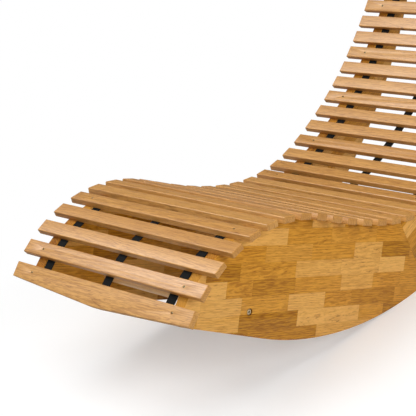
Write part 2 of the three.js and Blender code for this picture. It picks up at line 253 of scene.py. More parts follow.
def smooth_step(tree, value, low, high):
    """0 below low, 1 above high, and a soft rise between them."""
    inputs = {"Value": value, "From Min": low, "From Max": high}
    node = shader_node(tree, "MapRange", inputs, interpolation_type="SMOOTHSTEP")
    return node.outputs["Result"]


def ripple(tree, turns):
    """The sine of an angle, brought from between -1 and 1 to between 0 and 1."""
    return calc(tree, "MULTIPLY_ADD", calc(tree, "SINE", turns), 0.5, 0.5)


# %% Helpers for colours, places and relief
MIX_SHARE, MIX_FIRST, MIX_SECOND, MIX_RESULT = 0, 6, 7, 2  # the Mix node's sockets for colours
RELIEF_DEPTH = 0.3 * MM


def linear(red, green, blue):
    """A colour as a picture shows it, from 0 to 255, as the light that shaders work with.

    The curve is the one of sRGB: a short straight foot, and above it a power of 2.4.
    """
    shares = np.array([red, green, blue]) / 255
    light = np.where(shares <= 0.04045, shares / 12.92, ((shares + 0.055) / 1.055) ** 2.4)
    return (*light.tolist(), 1.0)


def mixed(tree, share, first, second, how="MIX"):
    """Two colours mixed; a share of 0 gives the first."""
    inputs = {MIX_SHARE: share, MIX_FIRST: first, MIX_SECOND: second}
    node = shader_node(tree, "Mix", inputs, data_type="RGBA", blend_type=how)
    return node.outputs[MIX_RESULT]


def shares_of(tree, colour):
    """A colour's three numbers, by the names Red, Green and Blue."""
    return shader_node(tree, "SeparateColor", {"Color": colour}).outputs


def attribute(tree, name, output):
    """What a mesh has stored for each vertex under this name."""
    return shader_node(tree, "Attribute", {}, attribute_name=name).outputs[output]


def object_place(tree):
    """The place of a point in metres, which is the same on all pieces, as all sit at the origin."""
    return shader_node(tree, "TexCoord", {}).outputs["Object"]


def board_place(tree):
    """A point's place in its board: along the grain, across it and out of the face."""
    return attribute(tree, "board", "Vector")


def in_relief(tree, shader, height, strength):
    """Shades a surface as if it rose and fell with the height."""
    inputs = {"Height": height, "Strength": strength, "Distance": RELIEF_DEPTH}
    bump = shader_node(tree, "Bump", inputs)
    fill(tree, shader, {"Normal": bump.outputs["Normal"]})


def new_finish(name):
    """An empty material with its node tree and its shader, ready for nodes."""
    material = bpy.data.materials.new(name)
    material.use_nodes = True
    print("finish:", name)
    return material, material.node_tree, material.node_tree.nodes["Principled BSDF"]


# %% [markdown]
# ## Wood
#
# A board's grain is the rings of its trunk: cylinders round a line, the pith, that lies below the
# board. Where the board cuts them they show as long bands that bend and close. Stretched noise alone
# would give straight hair, and a Wave texture bands that are all alike. So each board carries its own
# coordinates, in metres: along the grain, across it, and out of its face, with the pith at zero. The
# rings are the distance from the pith, bent a little by noise, and fine fibres are noise drawn out
# along the grain.

# %% Wood from its board coordinates
BEND_DETAIL = 2.0
BENDS_ACROSS = 4  # a ring bends this many times as often across the board as along it
DRIFT = 0.4  # how fast fibres change across the board, beside the change away from the pith
RING_SHARPNESS = 3.0
RING_PATCHES = (7.0, 40.0, 1.0)  # waves a metre along and across, and detail
PATCH_STEP = (0.3, 0.7)
FAINTEST_RING = 0.3
COARSE_SHARE = 0.7
FINE_FIBRES = (30.0, 1000.0, 2.0)
STREAK_STEP = (0.43, 0.6)
PORES = (55.0, 620.0, 1.0)
PORE_STEP = (0.55, 0.68)
PORES_BETWEEN_RINGS = 0.3
PORE_TINT = (0.6, 0.45, 0.3, 1.0)
PORE_SINK = 0.4
FIBRE_GLOSS = 0.16


def waves(tree, place, along, across, detail, output="Fac"):
    """Noise with so many waves a metre along the grain and across it."""
    inputs = {"Vector": scaled(tree, place, (along, across, across)), "Scale": 1.0, "Detail": detail}
    return shader_node(tree, "TexNoise", inputs).outputs[output]


def from_pith(tree, place, bends, wander):
    """Distance from the pith, and a place whose second number is that distance.

    Noise with so many bends a metre moves the place by up to half the wander before it is measured.
    """
    noise = waves(tree, place, bends, BENDS_ACROSS * bends, BEND_DETAIL, "Color")
    swing = vector_calc(tree, "SUBTRACT", noise, (0.5, 0.5, 0.5))
    bent = vector_calc(tree, "MULTIPLY_ADD", swing, (0.0, wander, wander), place)
    distance = length_of(tree, scaled(tree, bent, tuple(SIDE_VIEW)))
    parts = parts_of(tree, place)
    drift = times(tree, parts["Y"], DRIFT)
    return distance, vector_of(tree, parts["X"], distance, drift)


def wood_colour(tree, place, early, late, grain):
    """Early wood darkened by rings, by streaks that follow the rings, and by short pores.

    A ring is a ripple of the distance from the pith, to a power that makes its dark part thin. Also
    gives the fibres' height, lowered in the pores, for the relief.
    """
    distance, bent = from_pith(tree, place, grain["bends"], grain["wander"])
    turns = times(tree, distance, 2 * math.pi / grain["ring_width"])
    ring = calc(tree, "POWER", ripple(tree, turns), RING_SHARPNESS)
    patches = smooth_step(tree, waves(tree, place, *RING_PATCHES), *PATCH_STEP)
    ring = times(tree, ring, between(tree, patches, FAINTEST_RING, 1))
    colour = mixed(tree, times(tree, ring, grain["ring_depth"]), early, late)

    coarse = times(tree, waves(tree, bent, *grain["streaks"]), COARSE_SHARE)
    fine = times(tree, waves(tree, bent, *FINE_FIBRES), 1 - COARSE_SHARE)
    fibres = calc(tree, "ADD", coarse, fine)
    streaks = times(tree, smooth_step(tree, fibres, *STREAK_STEP), grain["streak_depth"])
    colour = mixed(tree, streaks, colour, late)

    pores = smooth_step(tree, waves(tree, bent, *PORES), *PORE_STEP)
    faintest = PORES_BETWEEN_RINGS * grain["pore_depth"]
    pores = times(tree, pores, calc(tree, "MULTIPLY_ADD", ring, grain["pore_depth"], faintest))
    colour = mixed(tree, pores, colour, mixed(tree, 1.0, late, PORE_TINT, "MULTIPLY"))
    return colour, calc(tree, "SUBTRACT", fibres, times(tree, pores, PORE_SINK))


def wood_surface(tree, shader, colour, fibres, strength, roughness):
    """The colour, with fibres as fine relief and a gloss that they break up."""
    in_relief(tree, shader, fibres, strength)
    uneven = between(tree, fibres, -FIBRE_GLOSS / 2, FIBRE_GLOSS / 2)
    fill(tree, shader, {"Base Color": colour, "Roughness": calc(tree, "ADD", uneven, roughness)})


# %% [markdown]
# ## Slat wood
#
# The slats are pale straight-grained boards with a thin coat of oil. No two have the same colour, so
# each carries a tone of its own, which is simpler than a material for every board. Here and there is a
# small dark knot: a Voronoi pattern has one point in each cell, so it can place single knots, which
# noise would smear.

# %% Slat wood
SLAT_GRAIN = {
    "ring_width": 3.4 * MM, "ring_depth": 0.2, "bends": 4.0, "wander": 4 * MM,
    "streaks": (15.0, 500.0, 4.0), "streak_depth": 0.52, "pore_depth": 0.5,
}
SLAT_EARLY = (linear(214, 160, 87), linear(202, 146, 74))
SLAT_LATE = (linear(158, 102, 44), linear(150, 94, 38))
SLAT_RELIEF = 0.12
SLAT_ROUGHNESS = 0.46
KNOT_CELLS = (6.0, 9.0, 0.0)  # cells a metre along and across
KNOT_STEP = (0.012, 0.06)  # a knot's heart and its rim, measured in cells
KNOT_LIMIT = 0.5  # a cell has a knot where its random number is above this
KNOT_SHADE = 0.7
KNOT_BROWN = linear(104, 56, 32)


def knots(tree, place):
    """1 in the heart of a knot and 0 outside it, near the points of some of the pattern's cells."""
    flat = scaled(tree, place, KNOT_CELLS)
    cells = shader_node(tree, "TexVoronoi", {"Vector": flat, "Scale": 1.0}).outputs
    near = calc(tree, "SUBTRACT", 1.0, smooth_step(tree, cells["Distance"], *KNOT_STEP))
    picked = calc(tree, "GREATER_THAN", shares_of(tree, cells["Color"])["Red"], KNOT_LIMIT)
    return times(tree, near, picked)


def slat_finish():
    """Grain in a board's own tone, with a few knots."""
    material, tree, shader = new_finish("oiled_slat_wood")
    place = board_place(tree)
    tone = attribute(tree, "tone", "Fac")
    early, late = mixed(tree, tone, *SLAT_EARLY), mixed(tree, tone, *SLAT_LATE)
    colour, fibres = wood_colour(tree, place, early, late, SLAT_GRAIN)
    knot = times(tree, knots(tree, place), KNOT_SHADE)
    colour = mixed(tree, knot, colour, KNOT_BROWN)
    wood_surface(tree, shader, colour, fibres, SLAT_RELIEF, SLAT_ROUGHNESS)
    return material


slat_wood = slat_finish()

# %% [markdown]
# ## How a panel is laid in staves
#
# The side panels are glued up like a butcher's block, from rows of short staves. They could be modelled
# one by one, but their joints are flush, so a pattern shows the same on one solid board. The row is the
# height divided by its width and rounded down. Along it, a one-dimensional Voronoi pattern cuts staves
# of uneven lengths. It gives each a random colour, whose three numbers pick the stave's tone and slide
# its grain, so no stave continues its neighbour.

# %% Lay the staves
STAVE_ROW = 44 * MM
STAVE_LENGTHS = (150 * MM, 250 * MM)  # between these lies the mean length in a row
STAVE_SLANT = 0.05  # the most that a stave's grain climbs out of its face, a metre
GLUE_LINE = 0.3 * MM
ROW_SLIDE, ROW_STEP = 40.0, 57.0  # each row takes its staves from another stretch of the pattern
GRAIN_SLIDES = (9.0, 0.12, 0.02)  # metres along, across and out of the face


def voronoi_row(tree, along, **options):
    """The cells that a one-dimensional Voronoi pattern cuts a row into."""
    inputs = {"W": along, "Scale": 1.0, "Randomness": 1.0}
    return shader_node(tree, "TexVoronoi", inputs, voronoi_dimensions="1D", **options).outputs


def lay_staves(tree, place):
    """A point's random numbers and its own grain place, both by its stave, and 1 on a glue line."""
    parts = parts_of(tree, place)
    row = calc(tree, "FLOOR", calc(tree, "DIVIDE", parts["Y"], STAVE_ROW))
    noise = shader_node(tree, "TexWhiteNoise", {"W": row}, noise_dimensions="1D")
    shift = noise.outputs["Value"]
    lengths = between(tree, shift, *STAVE_LENGTHS)
    start = calc(tree, "MULTIPLY_ADD", shift, ROW_SLIDE, times(tree, row, ROW_STEP))
    along = calc(tree, "ADD", calc(tree, "DIVIDE", parts["X"], lengths), start)
    cells = voronoi_row(tree, along)
    random = shares_of(tree, cells["Color"])
    row_middle = times(tree, calc(tree, "ADD", row, 0.5), STAVE_ROW)
    in_row = calc(tree, "SUBTRACT", parts["Y"], row_middle)
    from_middle = times(tree, calc(tree, "SUBTRACT", along, cells["W"]), lengths)
    slant = between(tree, random["Green"], -STAVE_SLANT, STAVE_SLANT)
    out = calc(tree, "MULTIPLY_ADD", from_middle, slant, parts["Z"])
    own = vector_of(tree, parts["X"], in_row, out)
    own = vector_calc(tree, "MULTIPLY_ADD", cells["Color"], GRAIN_SLIDES, own)

    to_end = voronoi_row(tree, along, feature="DISTANCE_TO_EDGE")["Distance"]
    at_end = calc(tree, "LESS_THAN", to_end, GLUE_LINE / np.mean(STAVE_LENGTHS))
    at_side = calc(tree, "GREATER_THAN", calc(tree, "ABSOLUTE", in_row), STAVE_ROW / 2 - GLUE_LINE)
    return random, own, calc(tree, "MAXIMUM", at_end, at_side)


# %% [markdown]
# ## Stave wood
#
# The staves are browns from honey to amber, and the darker ones have the stronger grain. A colour ramp
# turns one random number into these tones, so their share in the panel can be set. Along the panel's
# edges and in a ring round each bolt's recess the wood is darkened with painted shade, and the edges
# are duller. The edges are where the surface faces up or down rather than sideways, and the bolts'
# places come from the frame, so nothing has to be painted by hand.

# %% Stave wood
BOLTS = ("front", "rear")
bolt_places = [middle(f"right_{bolt}_rail_bolt") for bolt in BOLTS]
STAVE_TONES = [
    (0.00, linear(190, 131, 26)), (0.22, linear(201, 139, 34)), (0.32, linear(214, 150, 46)),
    (0.64, linear(218, 155, 52)), (0.74, linear(226, 168, 80)), (1.00, linear(232, 176, 92)),
]
STAVE_LATE = (0.54, 0.42, 0.19, 1.0)
STAVE_GRAIN = {
    "ring_width": 6.0 * MM, "bends": 15.0, "wander": 6 * MM,
    "streaks": (26.0, 330.0, 4.0), "pore_depth": 0.6,
}
STREAKS = (1.0, 0.25)  # in the darkest and the lightest stave
RINGS_TO_STREAKS = 0.7
STAVE_RELIEF = 0.1
STAVE_SHINE = 0.28
STAVE_ROUGHNESS = (0.4, 0.85)  # on the broad faces and on the edges
GLUE_SHADE, GLUE_BROWN = 0.3, linear(110, 66, 20)
# Painted shade in a ring round each bolt's recess: how dark, its colour, and from the bolt's axis where
# it fades out.
RECESS_SHADE, RECESS_SHADE_BROWN = 0.7, linear(84, 50, 16)
RECESS_SHADE_RING = (8.5 * MM, 12 * MM)
# painted shade on the panel's edges, multiplied into the colour
EDGE_SHADE = (0.64, 0.56, 0.25, 1.0)
BROAD_FACE = (0.3, 0.8)  # how much of its direction a face must have sideways to be a broad one


def tone_ramp(tree, share):
    """The stave's tone for a random number."""
    ramp = shader_node(tree, "ValToRGB", {"Fac": share})
    stops = ramp.color_ramp.elements
    while len(stops) < len(STAVE_TONES):
        stops.new(0.5)
    for (position, colour), stop in zip(STAVE_TONES, stops):
        stop.position, stop.color = position, colour
    return ramp.outputs["Color"]


def painted_shade_round_bolts(tree, colour):
    """The colour with painted shade round each bolt's recess, where the distance from the bolt's axis
    is small.
    """
    for bolt in bolt_places:
        beside = scaled(tree, object_place(tree), tuple(SIDE_VIEW))
        beside = vector_calc(tree, "SUBTRACT", beside, tuple(bolt * SIDE_VIEW))
        beyond_shade = smooth_step(tree, length_of(tree, beside), *RECESS_SHADE_RING)
        colour = mixed(tree, between(tree, beyond_shade, RECESS_SHADE, 0), colour, RECESS_SHADE_BROWN)
    return colour


def panel_edge(tree):
    """1 on a panel's edges and 0 on its broad faces, by how far the surface faces sideways."""
    facing = parts_of(tree, shader_node(tree, "NewGeometry", {}).outputs["Normal"])["X"]
    broad = smooth_step(tree, calc(tree, "ABSOLUTE", facing), *BROAD_FACE)
    return calc(tree, "SUBTRACT", 1.0, broad)


def stave_finish():
    """Staves in their tones with their own grain, glue lines, painted shade round the bolt holes and
    along the edges, and dull edges.
    """
    material, tree, shader = new_finish("oiled_stave_wood")
    random, own, glue = lay_staves(tree, board_place(tree))
    early = tone_ramp(tree, random["Red"])
    late = mixed(tree, 1.0, early, STAVE_LATE, "MULTIPLY")
    strong = between(tree, random["Red"], *STREAKS)
    depths = {"streak_depth": strong, "ring_depth": times(tree, strong, RINGS_TO_STREAKS)}
    colour, fibres = wood_colour(tree, own, early, late, {**STAVE_GRAIN, **depths})
    colour = mixed(tree, times(tree, glue, GLUE_SHADE), colour, GLUE_BROWN)
    # painted shade round the bolts' recesses
    colour = painted_shade_round_bolts(tree, colour)
    on_edge = panel_edge(tree)
    # painted shade: the edges darkened
    colour = mixed(tree, on_edge, colour, EDGE_SHADE, "MULTIPLY")
    wood_surface(tree, shader, colour, fibres, STAVE_RELIEF, between(tree, on_edge, *STAVE_ROUGHNESS))
    fill(tree, shader, {"Specular IOR Level": STAVE_SHINE})
    return material


stave_wood = stave_finish()

# %% [markdown]
# ## Rail and dowel wood
#
# The rails are turned from a paler hardwood, with the same oil. The dowels are bare beech pins, which
# show only where a joint is taken apart. Both get the slats' grain in other colours. The dowels are
# shown as packed, without board coordinates, so their grain follows their place.

# %% Rail and dowel wood
PLAIN_RELIEF = 0.1


def plain_wood_finish(name, place, roughness, early, late):
    """Wood of one tone. The place is a function that adds the nodes for its grain coordinates."""
    material, tree, shader = new_finish(name)
    colour, fibres = wood_colour(tree, place(tree), early, late, SLAT_GRAIN)
    wood_surface(tree, shader, colour, fibres, PLAIN_RELIEF, roughness)
    return material


rail_wood = plain_wood_finish("turned_rail_wood", board_place, roughness=0.36,
                              early=linear(232, 184, 120), late=linear(196, 140, 78))
dowel_wood = plain_wood_finish("bare_dowel_wood", object_place, roughness=0.7,
                               early=linear(222, 190, 146), late=linear(190, 150, 104))

# %% [markdown]
# ## Plated steel
#
# The barrel nuts and staples are zinc-plated, the bolts have a yellow plating with a brassy glint, and
# the wood screws a dark olive one. Fully metallic steel would mirror the white room and look like
# chrome, so a share of the plating scatters light as paint does, and faint noise breaks up its gloss.
# The sockets are darkened with painted shade, which an attribute marks: 0 on the head and 1 in the
# socket.

# %% Plated steel
PLATING_GRAINS = (900.0, 900.0, 2.0)
METAL_SHARE = 0.65
# how much the painted shade in the sockets and the plating's noise darken it, and the shade's colour
SOCKET_SHADE, GRAIN_SHADE = 0.95, 0.1
SOCKET_SHADE_COLOUR = linear(26, 20, 12)


def metal_finish(name, colour, roughness, unevenness):
    """Plating of one colour, darkened by noise and by painted shade in the sockets, with uneven gloss.
    """
    material, tree, shader = new_finish(name)
    noise = waves(tree, object_place(tree), *PLATING_GRAINS)
    grains = times(tree, noise, GRAIN_SHADE)
    # painted shade in the sockets, where the attribute is 1
    shade = calc(tree, "MULTIPLY_ADD", attribute(tree, "socket_shade", "Fac"), SOCKET_SHADE, grains)
    colour = mixed(tree, shade, colour, SOCKET_SHADE_COLOUR)
    rough = between(tree, noise, roughness - unevenness / 2, roughness + unevenness / 2)
    fill(tree, shader, {"Base Color": colour, "Metallic": METAL_SHARE, "Roughness": rough})
    return material


zinc_steel = metal_finish("zinc_plated_steel", (0.72, 0.72, 0.7, 1.0), roughness=0.36, unevenness=0.16)
yellow_zinc = metal_finish("yellow_zinc", (0.88, 0.7, 0.44, 1.0), roughness=0.42, unevenness=0.12)
olive_zinc = metal_finish("olive_zinc", (0.3, 0.25, 0.13, 1.0), roughness=0.45, unevenness=0.12)

# %% [markdown]
# ## Webbing
#
# The straps are black woven webbing: fine ribs cross them in a herringbone, and warp threads run along
# them. The weave must follow the strap round every bend, so it reads the strap's own coordinates, along
# it and across it, and not its place in the room. A rib is a ripple along the strap that comes earlier
# the further it is from the middle line, which makes the herringbone.

# %% Webbing
RIB = 6 * MM
RIB_LEAD = 4 * MM  # so far from the middle line a rib comes one rib early
WARP_THREAD = 1.5 * MM
FAINTEST_WARP = 0.4
WEBBING_DARK, WEBBING_LIGHT = linear(2, 2, 2), linear(30, 33, 33)
WEBBING_RELIEF = 0.5
WEBBING_GLOSS = {"Roughness": 0.8, "Specular IOR Level": 0.1}


def webbing_finish():
    """Ribs times warp threads, as colour and as relief."""
    material, tree, shader = new_finish("black_webbing")
    parts = parts_of(tree, attribute(tree, "strap", "Vector"))
    rib_turns = times(tree, parts["X"], 2 * math.pi / RIB)
    lead = times(tree, calc(tree, "ABSOLUTE", parts["Y"]), 2 * math.pi / RIB_LEAD)
    rib = ripple(tree, calc(tree, "ADD", rib_turns, lead))
    warp = ripple(tree, times(tree, parts["Y"], 2 * math.pi / WARP_THREAD))
    weave = times(tree, rib, between(tree, warp, FAINTEST_WARP, 1))
    colour = mixed(tree, weave, WEBBING_DARK, WEBBING_LIGHT)
    fill(tree, shader, {"Base Color": colour, **WEBBING_GLOSS})
    in_relief(tree, shader, weave, WEBBING_RELIEF)
    return material


webbing = webbing_finish()

# %% [markdown]
# ## Boards with softened edges
#
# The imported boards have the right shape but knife-sharp corners, and sandpaper leaves none. Modelled
# again, they would need all their holes and seats once more. So a copy of each is welded and given its
# board coordinates, by one matrix product for all vertices, and a Bevel modifier rounds its edges.

# %% Copy a board
WELD = 0.01 * MM
FLAT_ENOUGH = math.radians(0.3)
CORNER = math.radians(30)
ROUNDING_STEPS = 2


def give_attribute(mesh, name, kind, key, values):
    """Stores one value for each vertex."""
    data = mesh.attributes.new(name, kind, "POINT").data
    data.foreach_set(key, np.ascontiguousarray(values, np.float32).ravel())


def show_piece(mesh, material, slot, *stands_for):
    """A piece of the lounge from its mesh, whose name it takes."""
    mesh.materials.clear()
    mesh.materials.append(material)
    piece = in_scene(mesh.name, mesh)
    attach(piece, "root")
    if stands_for:
        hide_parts(*stands_for)
    return piece


def board_copy(name, node, axes, origin, offset, finish, rounding, tone=0.5, edge_share=None):
    """A welded copy of a CAD node with rounded corners.

    Its board coordinates are (place - origin) on three axes, plus an offset. The share is a function of
    an edge's middle that says how much of the rounding it gets; without one, every edge gets all.
    """
    shape = bmesh.new()
    shape.from_mesh(nodes[node].data)
    bmesh.ops.remove_doubles(shape, verts=shape.verts, dist=WELD)
    bmesh.ops.dissolve_limit(shape, angle_limit=FLAT_ENOUGH, verts=shape.verts, edges=shape.edges)
    weight = shape.edges.layers.float.new("bevel_weight_edge")
    for edge in shape.edges:
        if edge.calc_face_angle(0) > CORNER:
            centre = np.array((edge.verts[0].co + edge.verts[1].co) / 2)
            edge[weight] = edge_share(centre) if edge_share else 1.0
    mesh = bpy.data.meshes.new(name)
    shape.to_mesh(mesh)
    shape.free()
    board = (vertex_places(mesh) - origin) @ np.array(axes).T + offset
    give_attribute(mesh, "board", "FLOAT_VECTOR", "vector", board)
    give_attribute(mesh, "tone", "FLOAT", "value", np.full(len(board), tone))
    mesh.shade_smooth()
    piece = show_piece(mesh, *finish, node)
    bevel = piece.modifiers.new("rounded_edges", "BEVEL")
    bevel.width = rounding
    bevel.segments = ROUNDING_STEPS
    bevel.limit_method = "WEIGHT"
    bevel.harden_normals = True


# %% [markdown]
# ## The slats
#
# No two boards are sawn alike. One random number slides a board's grain, two put its pith below it, one
# slants it in the trunk, so that its rings close in long points, and the last is its tone. A fixed seed
# gives the same boards every time.

# %% The slats
GRAIN_REACH = 50  # metres of grain to take a slat from, both ways
PITH_SHIFT = (5 * MM, 80 * MM)
PITH_DEPTH = (12 * MM, 40 * MM)
MOST_SLANT = 2  # degrees
SLAT_ROUNDING = 0.8 * MM
for number, (node, station) in enumerate(stations.items(), 1):
    slide = chance.uniform(-GRAIN_REACH, GRAIN_REACH)
    offset = (slide, chance.uniform(*PITH_SHIFT), chance.uniform(*PITH_DEPTH))
    slant = math.radians(chance.uniform(-MOST_SLANT, MOST_SLANT))
    axes = (
        math.cos(slant) * ACROSS - math.sin(slant) * station["normal"], station["along"],
        math.cos(slant) * station["normal"] + math.sin(slant) * ACROSS,
    )
    board_copy(f"board_{number:02d}", node, axes, station["centre"], offset, (slat_wood, "slats"),
               SLAT_ROUNDING, tone=chance.uniform(0, 1))
print("slats rounded:", number)

# %% [markdown]
# ## The side panels
#
# The panels' outer edges are rounded, as by a router, but the bolts' bores and the glued joint are
# crisp. One Bevel modifier does both, because it multiplies its width by a weight on each edge. The
# boards' coordinates run along their own staves from the joint's foot.

# %% The side panels
PANEL_REACH = 5
PANEL_PITH = 20 * MM
PANEL_ROUNDING = 2.2 * MM
CRISP_EDGE = 0.2
BORE_REACH = 12 * MM
NEAR_FACE = 1 * MM
panel_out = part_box("right_base_panel")[1][0]


def panel_edge_share(place):
    """Less rounding for an edge in the joint, and for one near a bolt but not in the panel's face."""
    near_bolt = min(np.linalg.norm((place - bolt)[1:]) for bolt in bolt_places) < BORE_REACH
    in_face = abs(place[0]) > panel_out - NEAR_FACE
    in_joint = abs((place - joint_foot) @ back_way) < NEAR_FACE
    return CRISP_EDGE if in_joint or near_bolt and not in_face else 1.0


for side in ("left", "right"):
    for part, way, up in (("base", base_way, base_up), ("back", back_way, back_up)):
        node = f"{side}_{part}_panel"
        origin = joint_foot + middle(node)[0] * ACROSS
        slide = chance.uniform(-PANEL_REACH, PANEL_REACH)
        offset = (slide, chance.uniform(0, STAVE_ROW), PANEL_PITH)
        board_copy(f"{side}_{part}_board", node, (way, up, ACROSS), origin, offset,
                   (stave_wood, "panels"), PANEL_ROUNDING, edge_share=panel_edge_share)
        print(node, "is laid in staves of", round(STAVE_ROW / MM), "mm")

# %% [markdown]
# ## The rails, dowels and barrel nuts
#
# The rails are copied as the boards are, with a finer rounding at their turned ends. The dowels and
# barrel nuts sit deep in the wood and are right as packed, so they only get their material.

# %% The rails, dowels and barrel nuts
RAIL_PITH = (15 * MM, 25 * MM)
RAIL_ROUNDING = 0.4 * MM
for node in ("front_rail", "rear_rail"):
    offset = (chance.uniform(-PANEL_REACH, PANEL_REACH), *RAIL_PITH)
    board_copy(f"turned_{node}", node, (ACROSS, base_way, base_up), middle(node), offset,
               (rail_wood, "rails"), RAIL_ROUNDING)
for node, thing in nodes.items():
    if "dowel" in node:
        thing.material_slots[0].material = dowel_wood
    if "barrel_nut" in node:
        thing.material_slots[0].material = zinc_steel

# %% [markdown]
# ## Surfaces from rings
#
# The small pieces are closed skins over rings of points. Blender's own cylinders would need boolean
# cuts for their recesses, while a skin goes in and out of a recess in one sweep. One ring follows the
# next along a path or up an axis, and four neighbouring points make a face. All rings are one array,
# and the copies of a piece are the same array in other places.

# %% Skins over rings


def skin_faces(rings, sides):
    """Faces between each ring and the next, as indices into the rings laid end to end."""
    ring, side = np.meshgrid(np.arange(rings - 1), np.arange(sides), indexing="ij")
    low, high = ring * sides, (ring + 1) * sides
    after = (side + 1) % sides
    return np.stack([low + side, low + after, high + after, high + side], -1).reshape(-1, 4)


def skins(name, rings):
    """One mesh of closed skins from an array of (copies, rings, sides, 3).

    The first and last ring of a copy are one point each, so welding their points closes the skin.
    """
    copies, count, sides, _ = rings.shape
    apart = np.arange(copies)[:, None, None] * count * sides
    faces = (skin_faces(count, sides)[None] + apart).reshape(-1, 4)
    mesh = bpy.data.meshes.new(name)
    mesh.from_pydata(rings.reshape(-1, 3).tolist(), [], faces.tolist())
    shape = bmesh.new()
    shape.from_mesh(mesh)
    bmesh.ops.remove_doubles(shape, verts=shape.verts, dist=WELD / 10)
    bmesh.ops.recalc_face_normals(shape, faces=shape.faces)
    shape.to_mesh(mesh)
    shape.free()
    mesh.shade_smooth()
    mesh.set_sharp_from_angle(angle=CORNER)
    return mesh


def capped(rings):
    """Rings with two more at the ends, each of one point, the middle of the ring beside it."""
    first, last = (rings[end].mean(0)[None, None].repeat(rings.shape[1], 1) for end in (0, -1))
    return np.concatenate([first, rings, last])


def standing(rings, stands):
    """Copies of one array of rings, one on each stand: an origin and three directions.

    A point is the origin, plus each of its three numbers times the direction that goes with it.
    """
    stands = np.array(stands)
    return np.einsum("rsk,ckj->crsj", rings, stands[:, 1:]) + stands[:, None, None, 0]


# %% [markdown]
# ## Screws and bolts
#
# A screw or a bolt is turned, so its skin is spun: each ring has a radius and a height above the face
# of the head. A Screw modifier could spin it too, but not its recess, which isn't round. An outline,
# which is a share of the radius for each angle, shapes the recess's two rings.

# %% Spun fasteners


def spun(profile, sides, outline):
    """Rings round the third axis from rows of radius and height.

    The outline goes on the two rings of the recess, which are the last ones before the end point.
    """
    profile = np.array(profile)
    angle = np.arange(sides) * 2 * math.pi / sides
    radius = np.repeat(profile[:, :1], sides, 1)
    radius[-3:-1] *= outline(angle)
    height = np.repeat(profile[:, 1:], sides, 1)
    return np.stack([radius * np.cos(angle), radius * np.sin(angle), height], -1)


def fasteners(name, rings, stands, socket_shade, material, *stands_for):
    """One piece of the same fastener on every stand, with its sockets marked for painted shade.

    A socket is within a radius of the axis, below the face by more than a depth and by less than three
    times that plus the radius. Below is the distance against the stand's third direction, and out is
    the one from its axis, by Pythagoras.
    """
    mesh = skins(name, standing(rings, stands))
    radius, depth = socket_shade
    apart = vertex_places(mesh)[:, None] - np.array(stands)[:, 0]
    below = -np.einsum("vok,ok->vo", apart, np.array(stands)[:, 3])
    out = np.sqrt(np.maximum((apart ** 2).sum(-1) - below ** 2, 0))
    inside = (out < radius) & (below > depth) & (below < 3 * depth + radius)
    # 1 where the socket gets painted shade
    give_attribute(mesh, "socket_shade", "FLOAT", "value", inside.any(1))
    show_piece(mesh, material, "steel", *stands_for)


# %% [markdown]
# ## Wood screws
#
# Every third slat, and the foot slat, is screwed to the side panels through a countersunk hole. The
# screw is a shank, a cone, a rim and a star recess, whose outline swells and shrinks six times a turn.
# The screwed slats are found in the frame by their holes, which give their meshes more corners.

# %% Wood screws
SIDES = (("left", -1), ("right", 1))
SLAT_THICKNESS = 18 * MM
SCREW_SIDES = 36
SCREW_HEAD = 3.8 * MM
SCREW_SHANK = 2.1 * MM
SCREW_CONE = 2.4 * MM
SCREW_RIM = 0.3 * MM
SCREW_CHAMFER = (0.2 * MM, 0.1 * MM)  # inwards and down
SCREW_SINK = 0.9 * MM
RECESS = 2.8 * MM
RECESS_DEPTH = 2.2 * MM
RECESS_TAPER = 0.92
RECESS_POINT = 0.3 * MM
STAR_SWELL = 0.16
# the painted shade in a screw's recess reaches this share of the recess's radius
SHADED_RECESS = 1.2


def star(angle):
    """One, plus a small cosine of six times the angle: six soft points."""
    return 1 + STAR_SWELL * np.cos(6 * angle)


screw_end = -SLAT_THICKNESS + SCREW_SINK
screw_profile = [
    (0, screw_end), (SCREW_SHANK, screw_end), (SCREW_SHANK, -SCREW_CONE), (SCREW_HEAD, -SCREW_RIM),
    (SCREW_HEAD, -SCREW_CHAMFER[1]), (SCREW_HEAD - SCREW_CHAMFER[0], 0), (RECESS, 0),
    (RECESS * RECESS_TAPER, -RECESS_DEPTH), (0, -RECESS_DEPTH - RECESS_POINT),
]
screw_rings = spun(screw_profile, SCREW_SIDES, star)
screw_socket_shade = (SHADED_RECESS * RECESS, RECESS_DEPTH / 2)
plain_corners = min(stations[name]["corners"] for name in slat_names[1:])
screwed = deck[:1] + [station for station in deck[1:] if station["corners"] > plain_corners]
screw_x = float(np.mean(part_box("right_base_panel"), axis=0)[0])
for side, sign in SIDES:
    stands = []
    for station in screwed:
        head = station["centre"] + sign * screw_x * ACROSS
        head = head + station["normal"] * (SLAT_THICKNESS / 2 - SCREW_SINK)
        stands.append((head, ACROSS, station["along"], station["normal"]))
    fasteners(f"{side}_wood_screws", screw_rings, stands, screw_socket_shade, olive_zinc)
print("screws on each side:", len(screwed))

# %% [markdown]
# ## Rail bolts
#
# A flat-headed bolt sits in a round recess in each panel and pulls the rail up by a barrel nut. The
# packed bolt is a plain stepped pin, so a turned one stands for it, with a softened rim and a hexagon
# socket. The outline of a hexagon is one over the cosine of the angle from the middle of its flat.

# %% Rail bolts
BOLT_SIDES = 72
HEAD_RADIUS = 8 * MM
HEAD_HEIGHT = 4.5 * MM
SHANK_RADIUS = 4 * MM
SHANK_CHAMFER = 1 * MM
RIM_CURVE = [(0, 2.6 * MM), (0.7 * MM, 1.1 * MM), (2.2 * MM, 0)]  # inwards and down
SOCKET_FLAT = 3 * MM
SOCKET_MOUTH = 1.3
SOCKET = [  # radius and height of its rings
    (SOCKET_FLAT * SOCKET_MOUTH, 0), (SOCKET_FLAT, -0.4 * MM),
    (SOCKET_FLAT, -3 * MM), (0, -3.2 * MM),
]
